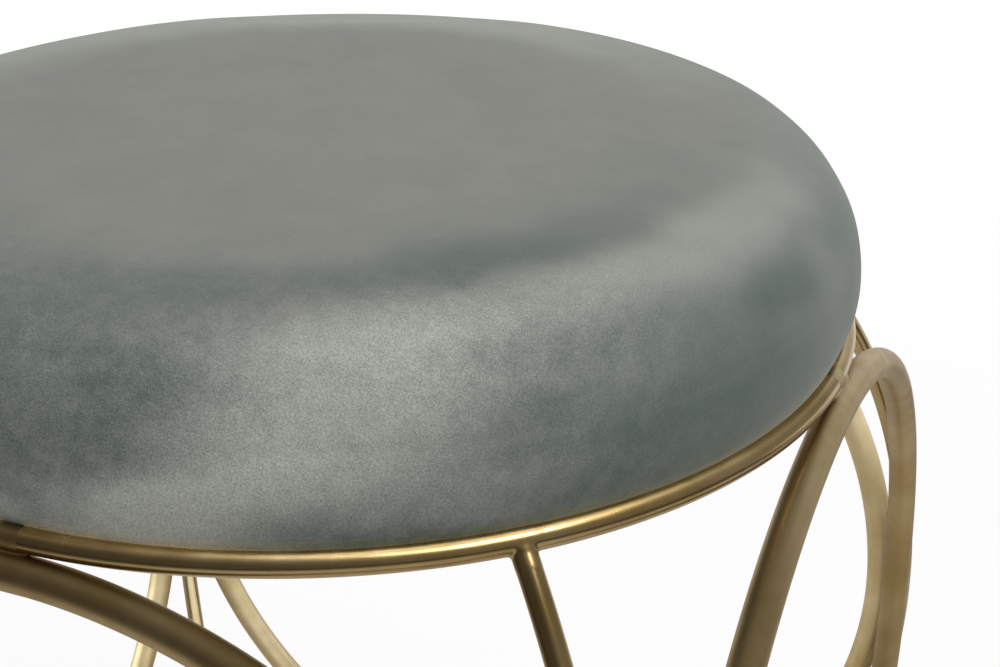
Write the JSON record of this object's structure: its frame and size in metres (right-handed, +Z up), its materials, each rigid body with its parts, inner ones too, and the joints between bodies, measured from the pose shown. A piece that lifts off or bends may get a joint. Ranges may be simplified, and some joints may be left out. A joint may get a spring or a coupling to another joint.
{
  "type": "round stool",
  "caption": "Round stool with a low domed velvet seat on an open cage of bent metal rings and slender bowed rods.",
  "frame": {"origin": "on the floor under the middle of the seat, at the centre of the underside of the bounding box", "axes": "+Z up through the middle of the seat, -Y towards the front hoop, +X towards the right hoop"},
  "size_m": [0.4086, 0.4086, 0.4783],
  "materials": {
    "velvet": "brushed velvet",
    "satin_gold": "satin",
    "foam": "matte",
    "plywood": "raw",
    "lining": "matte",
    "zinc_steel": "satin",
    "black_plastic": "matte"
  },
  "bodies": {
    "root": {"seat_cover": "velvet", "foam_pad": "foam", "seat_board": "plywood", "dust_cover": "lining", "seat_ring": "satin_gold", "base_ring": "satin_gold", "front_hoop": "satin_gold", "right_hoop": "satin_gold", "back_hoop": "satin_gold", "left_hoop": "satin_gold", "front_right_rod": "satin_gold", "back_right_rod": "satin_gold", "back_left_rod": "satin_gold", "front_left_rod": "satin_gold", "front_tab": "satin_gold", "right_tab": "satin_gold", "back_tab": "satin_gold", "left_tab": "satin_gold", "front_washer": "zinc_steel", "right_washer": "zinc_steel", "back_washer": "zinc_steel", "left_washer": "zinc_steel", "front_screw": "zinc_steel", "right_screw": "zinc_steel", "back_screw": "zinc_steel", "left_screw": "zinc_steel", "front_t_nut": "zinc_steel", "right_t_nut": "zinc_steel", "back_t_nut": "zinc_steel", "left_t_nut": "zinc_steel", "front_glide": "black_plastic", "right_glide": "black_plastic", "back_glide": "black_plastic", "left_glide": "black_plastic"}
  },
  "joints": []
}
